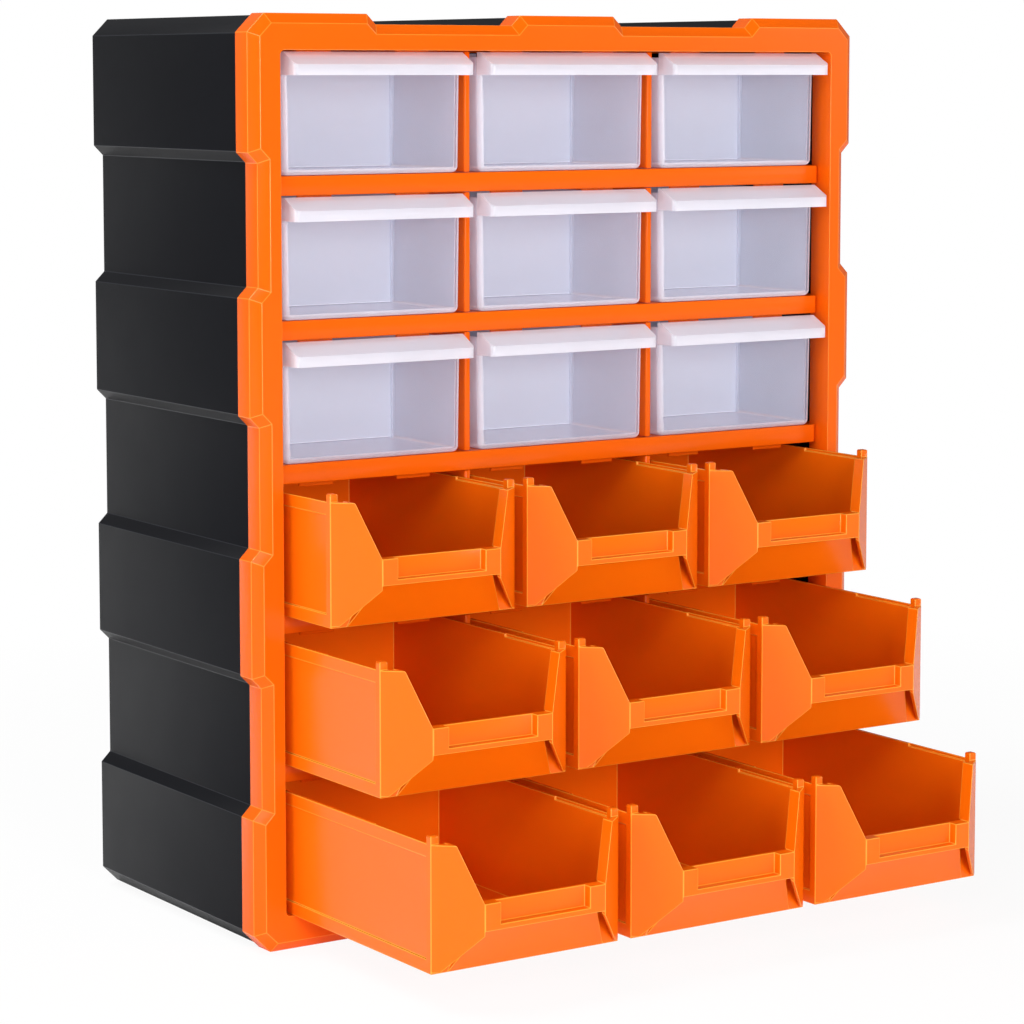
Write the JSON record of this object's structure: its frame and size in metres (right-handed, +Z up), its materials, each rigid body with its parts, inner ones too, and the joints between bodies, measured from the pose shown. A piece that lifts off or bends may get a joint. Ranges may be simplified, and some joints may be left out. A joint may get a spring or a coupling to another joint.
{
  "type": "parts bin cabinet",
  "caption": "Plastic parts cabinet with a notched shell, a bevelled front frame, clear drawers above and open scoop-front bins below, all sliding",
  "frame": {"origin": "on the floor, below the middle of the cabinet and its pulled-out bins", "axes": "+Z up, -Y out of the open front, +X to the right seen from the front"},
  "size_m": [0.38, 0.322, 0.47],
  "materials": {
    "black_shell": "satin moulded plastic",
    "orange_frame": "satin moulded plastic",
    "orange_bin": "satin moulded plastic",
    "clear_drawer": "clear moulded plastic",
    "clear_divider": "clear moulded plastic"
  },
  "bodies": {
    "cabinet": {"outer_shell": "black_shell", "front_frame": "orange_frame", "top_panel": "orange_frame", "base_panel": "orange_frame", "shelf_below_row_1": "orange_frame", "shelf_below_row_2": "orange_frame", "shelf_below_row_3": "orange_frame", "shelf_below_row_4": "orange_frame", "shelf_below_row_5": "orange_frame", "column_divider_left": "orange_frame", "column_divider_right": "orange_frame"},
    "row_1_left": {"clear_drawer_row_1_left": "clear_drawer", "drawer_divider_row_1_left": "clear_divider"},
    "row_1_middle": {"clear_drawer_row_1_middle": "clear_drawer", "drawer_divider_row_1_middle": "clear_divider"},
    "row_1_right": {"clear_drawer_row_1_right": "clear_drawer", "drawer_divider_row_1_right": "clear_divider"},
    "row_2_left": {"clear_drawer_row_2_left": "clear_drawer", "drawer_divider_row_2_left": "clear_divider"},
    "row_2_middle": {"clear_drawer_row_2_middle": "clear_drawer", "drawer_divider_row_2_middle": "clear_divider"},
    "row_2_right": {"clear_drawer_row_2_right": "clear_drawer", "drawer_divider_row_2_right": "clear_divider"},
    "row_3_left": {"clear_drawer_row_3_left": "clear_drawer", "drawer_divider_row_3_left": "clear_divider"},
    "row_3_middle": {"clear_drawer_row_3_middle": "clear_drawer", "drawer_divider_row_3_middle": "clear_divider"},
    "row_3_right": {"clear_drawer_row_3_right": "clear_drawer", "drawer_divider_row_3_right": "clear_divider"},
    "row_4_left": {"open_bin_row_4_left": "orange_bin"},
    "row_4_middle": {"open_bin_row_4_middle": "orange_bin"},
    "row_4_right": {"open_bin_row_4_right": "orange_bin"},
    "row_5_left": {"open_bin_row_5_left": "orange_bin"},
    "row_5_middle": {"open_bin_row_5_middle": "orange_bin"},
    "row_5_right": {"open_bin_row_5_right": "orange_bin"},
    "row_6_left": {"open_bin_row_6_left": "orange_bin"},
    "row_6_middle": {"open_bin_row_6_middle": "orange_bin"},
    "row_6_right": {"open_bin_row_6_right": "orange_bin"}
  },
  "joints": [
    {"name": "slide_row_1_left", "type": "slide", "parent": "cabinet", "child": "row_1_left", "axis": [0, -1, 0], "range_m": [0, 0.1472]},
    {"name": "slide_row_1_middle", "type": "slide", "parent": "cabinet", "child": "row_1_middle", "axis": [0, -1, 0], "range_m": [0, 0.1472]},
    {"name": "slide_row_1_right", "type": "slide", "parent": "cabinet", "child": "row_1_right", "axis": [0, -1, 0], "range_m": [0, 0.1472]},
    {"name": "slide_row_2_left", "type": "slide", "parent": "cabinet", "child": "row_2_left", "axis": [0, -1, 0], "range_m": [0, 0.1472]},
    {"name": "slide_row_2_middle", "type": "slide", "parent": "cabinet", "child": "row_2_middle", "axis": [0, -1, 0], "range_m": [0, 0.1472]},
    {"name": "slide_row_2_right", "type": "slide", "parent": "cabinet", "child": "row_2_right", "axis": [0, -1, 0], "range_m": [0, 0.1472]},
    {"name": "slide_row_3_left", "type": "slide", "parent": "cabinet", "child": "row_3_left", "axis": [0, -1, 0], "range_m": [0, 0.1472]},
    {"name": "slide_row_3_middle", "type": "slide", "parent": "cabinet", "child": "row_3_middle", "axis": [0, -1, 0], "range_m": [0, 0.1472]},
    {"name": "slide_row_3_right", "type": "slide", "parent": "cabinet", "child": "row_3_right", "axis": [0, -1, 0], "range_m": [0, 0.1472]},
    {"name": "slide_row_4_left", "type": "slide", "parent": "cabinet", "child": "row_4_left", "axis": [0, -1, 0], "range_m": [-0.04472, 0.10178]},
    {"name": "slide_row_4_middle", "type": "slide", "parent": "cabinet", "child": "row_4_middle", "axis": [0, -1, 0], "range_m": [-0.04472, 0.10178]},
    {"name": "slide_row_4_right", "type": "slide", "parent": "cabinet", "child": "row_4_right", "axis": [0, -1, 0], "range_m": [-0.04472, 0.10178]},
    {"name": "slide_row_5_left", "type": "slide", "parent": "cabinet", "child": "row_5_left", "axis": [0, -1, 0], "range_m": [-0.09064, 0.05586]},
    {"name": "slide_row_5_middle", "type": "slide", "parent": "cabinet", "child": "row_5_middle", "axis": [0, -1, 0], "range_m": [-0.09064, 0.05586]},
    {"name": "slide_row_5_right", "type": "slide", "parent": "cabinet", "child": "row_5_right", "axis": [0, -1, 0], "range_m": [-0.09064, 0.05586]},
    {"name": "slide_row_6_left", "type": "slide", "parent": "cabinet", "child": "row_6_left", "axis": [0, -1, 0], "range_m": [-0.13577, 0.01073]},
    {"name": "slide_row_6_middle", "type": "slide", "parent": "cabinet", "child": "row_6_middle", "axis": [0, -1, 0], "range_m": [-0.13577, 0.01073]},
    {"name": "slide_row_6_right", "type": "slide", "parent": "cabinet", "child": "row_6_right", "axis": [0, -1, 0], "range_m": [-0.13577, 0.01073]}
  ]
}
